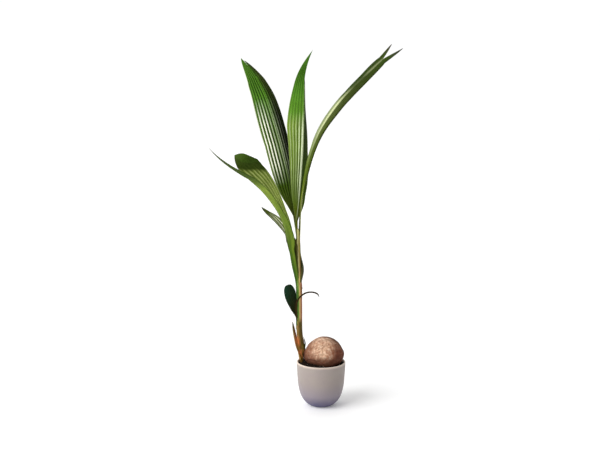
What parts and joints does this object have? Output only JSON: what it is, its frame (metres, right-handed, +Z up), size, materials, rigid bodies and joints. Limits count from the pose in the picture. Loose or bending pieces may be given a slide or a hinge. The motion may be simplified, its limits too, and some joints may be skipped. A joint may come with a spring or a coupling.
{
  "type": "potted coconut palm seedling",
  "caption": "Young coconut palm sprouted from a husked nut that lies half sunk in a plain round pot, with pleated, fork-tipped leaves on a slim sheathed stem.",
  "frame": {"origin": "centre of the pot's flat underside", "axes": "+Z up the plant, +X towards the side that the long leaf arches to, -Y towards the front, where the nut's broad side and the upper sides of the tall leaves show"},
  "size_m": [0.7073, 0.3485, 1.3864],
  "materials": {
    "pot_ceramic": "matt warm grey, with a lighter rim",
    "potting_soil": "dark crumbly potting soil",
    "coconut_husk": "dry fibrous tan husk",
    "stem_sheath": "smooth golden green sheaths with brown fibrous edges",
    "leaf_green": "glossy pleated green leaf",
    "leaf_dark": "very dark green leaf",
    "scale_dry": "dry papery scale, green at its tip"
  },
  "bodies": {
    "root": {"pot": "pot_ceramic", "soil": "potting_soil", "coconut": "coconut_husk", "stem": "stem_sheath", "leaf_tall_left": "leaf_green", "leaf_centre": "leaf_green", "leaf_arching_right": "leaf_green", "leaf_bent_left": "leaf_green", "leaf_small_back": "leaf_green", "leaf_lowest": "leaf_dark", "scale_left": "scale_dry", "scale_right": "leaf_dark"}
  },
  "joints": []
}
